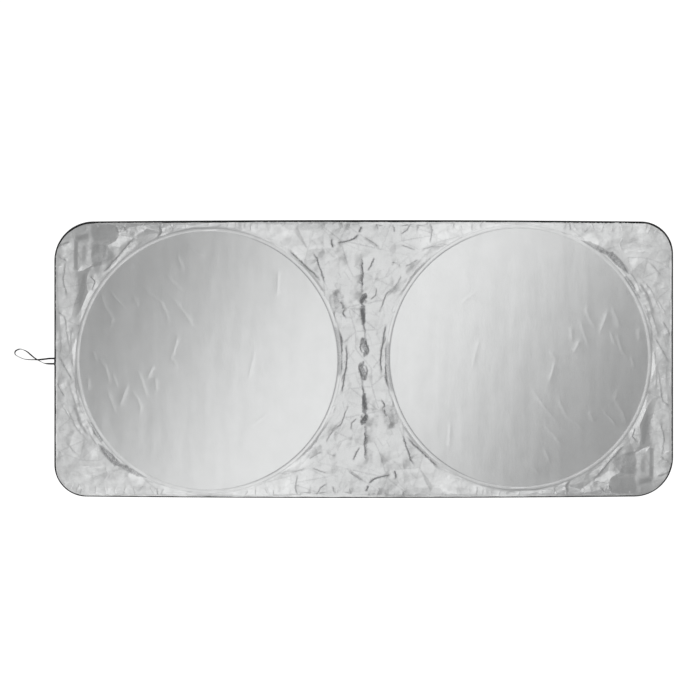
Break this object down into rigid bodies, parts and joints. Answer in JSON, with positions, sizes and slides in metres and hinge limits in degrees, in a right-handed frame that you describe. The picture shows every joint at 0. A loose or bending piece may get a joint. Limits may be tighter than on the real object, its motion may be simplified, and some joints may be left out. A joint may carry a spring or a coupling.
{
  "type": "windscreen sunshade",
  "caption": "Silver cloth windscreen sunshade with round spring hoops sewn in, a black bound edge and an elastic loop, laid open and flat.",
  "frame": {"origin": "middle of the open shade, on the surface that its back lies on", "axes": "+X along the long side, away from the elastic loop; +Y up the windscreen; +Z out of the silver face"},
  "size_m": [1.5974, 0.674, 0.0087],
  "materials": {
    "silver_cloth": "silver coated polyester, soft metallic sheen",
    "silver_tape": "silver coated polyester tape",
    "black_binding": "woven black polyester tape, matt",
    "black_elastic": "braided black elastic, matt",
    "spring_steel": "drawn spring steel wire",
    "ferrule_steel": "plain crimped steel tube"
  },
  "bodies": {
    "root": {"silver_sheet": "silver_cloth", "edge_binding": "black_binding", "left_hoop_tape": "silver_tape", "right_hoop_tape": "silver_tape", "left_hoop_wire": "spring_steel", "right_hoop_wire": "spring_steel", "left_hoop_ferrule": "ferrule_steel", "right_hoop_ferrule": "ferrule_steel", "elastic_loop": "black_elastic"}
  },
  "joints": []
}
